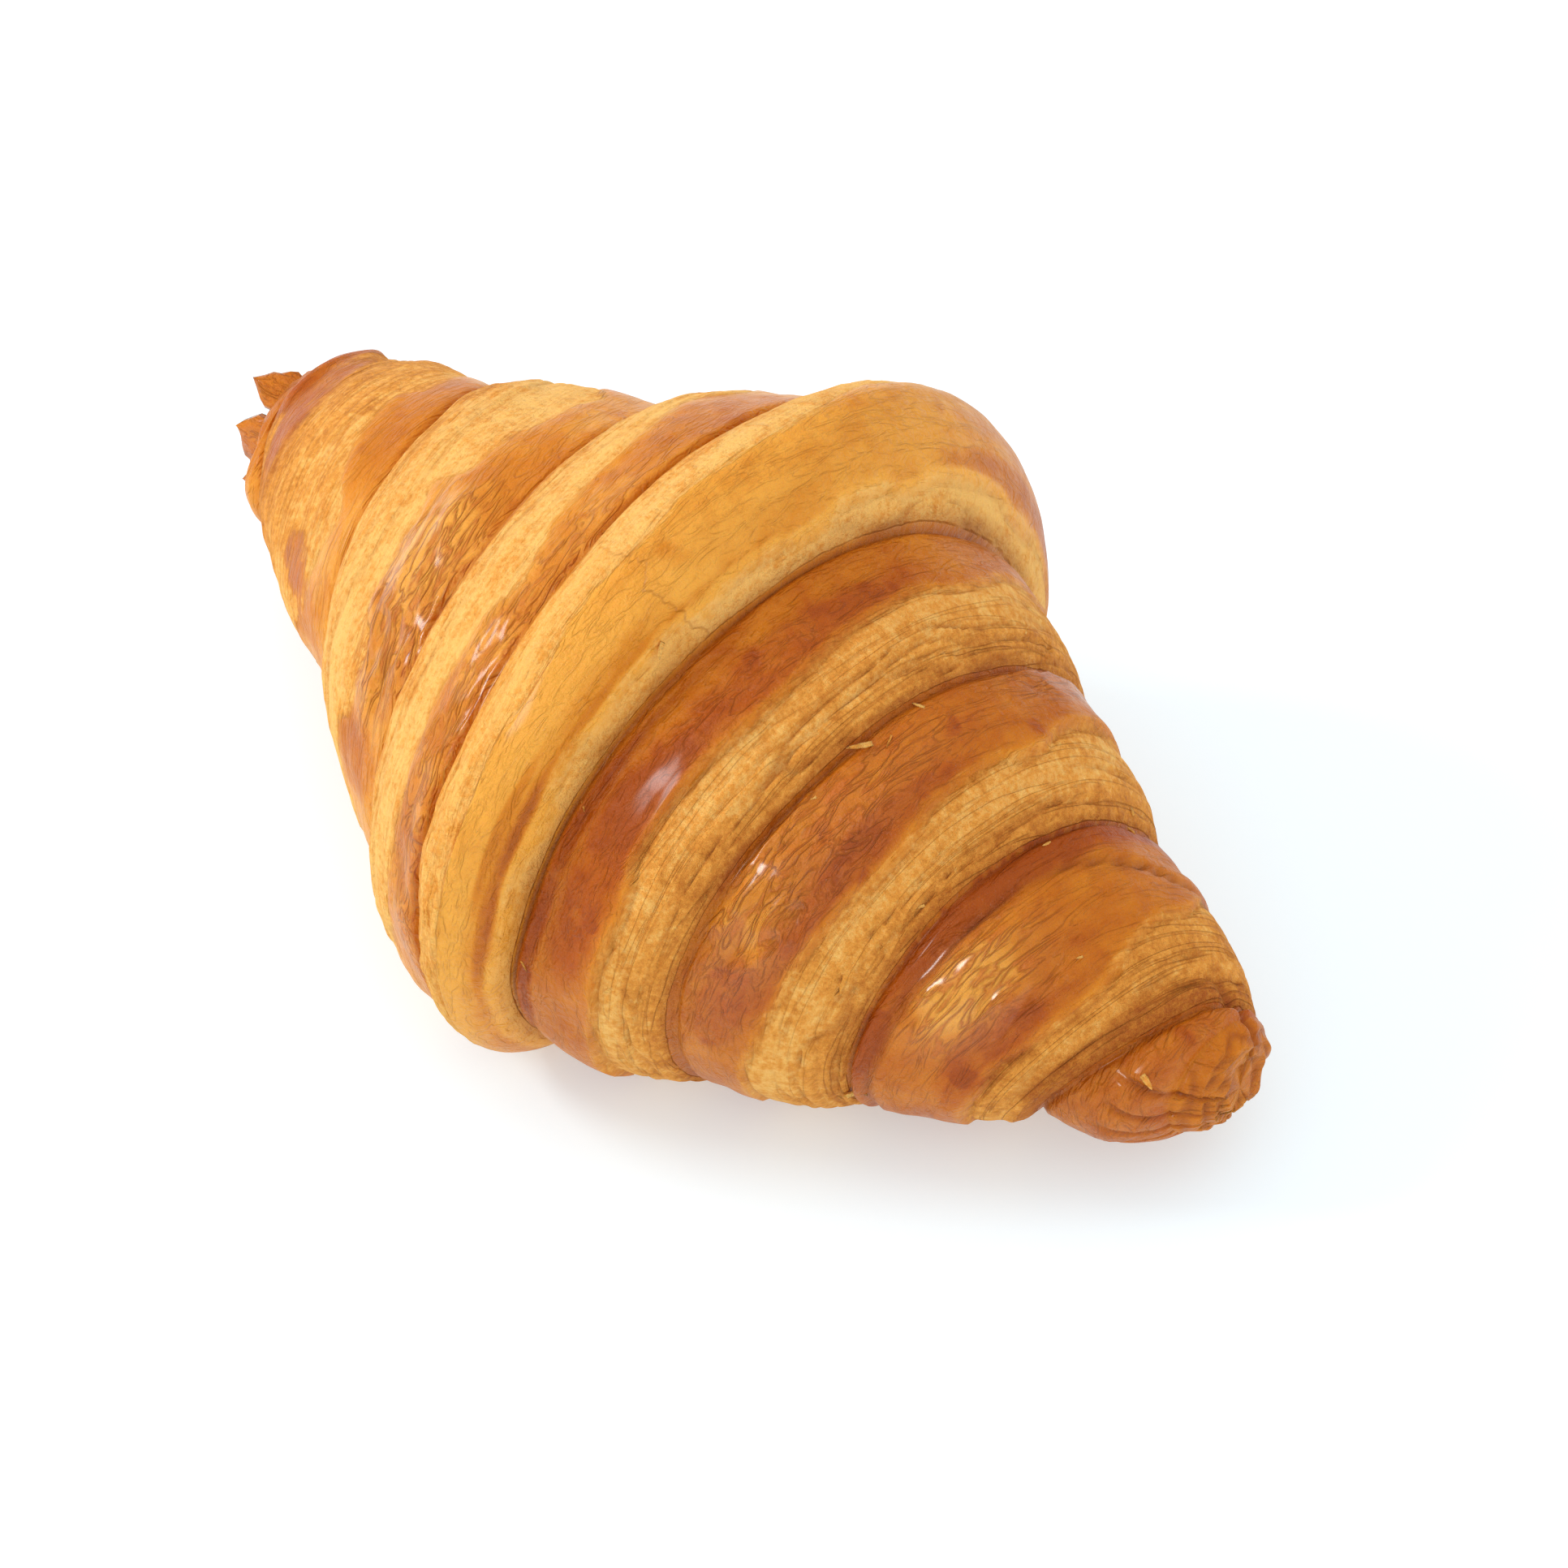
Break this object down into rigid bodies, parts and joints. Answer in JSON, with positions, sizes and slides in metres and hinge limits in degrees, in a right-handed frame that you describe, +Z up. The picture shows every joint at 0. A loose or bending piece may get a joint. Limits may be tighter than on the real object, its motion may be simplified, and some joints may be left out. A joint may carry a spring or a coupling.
{
  "type": "croissant",
  "caption": "Baked butter croissant: a laminated dough triangle rolled into a plump, gently curved loaf with a crowned middle band and tapering ends.",
  "frame": {"origin": "under the middle of the loaf, on the surface it rests on", "axes": "+X along the loaf from its bent, thicker-rimmed left end to its right end, +Y to the side both ends bend towards, +Z up"},
  "size_m": [0.152, 0.0986, 0.0702],
  "materials": {
    "crust": null
  },
  "bodies": {
    "root": {"croissant": "crust"}
  },
  "joints": []
}
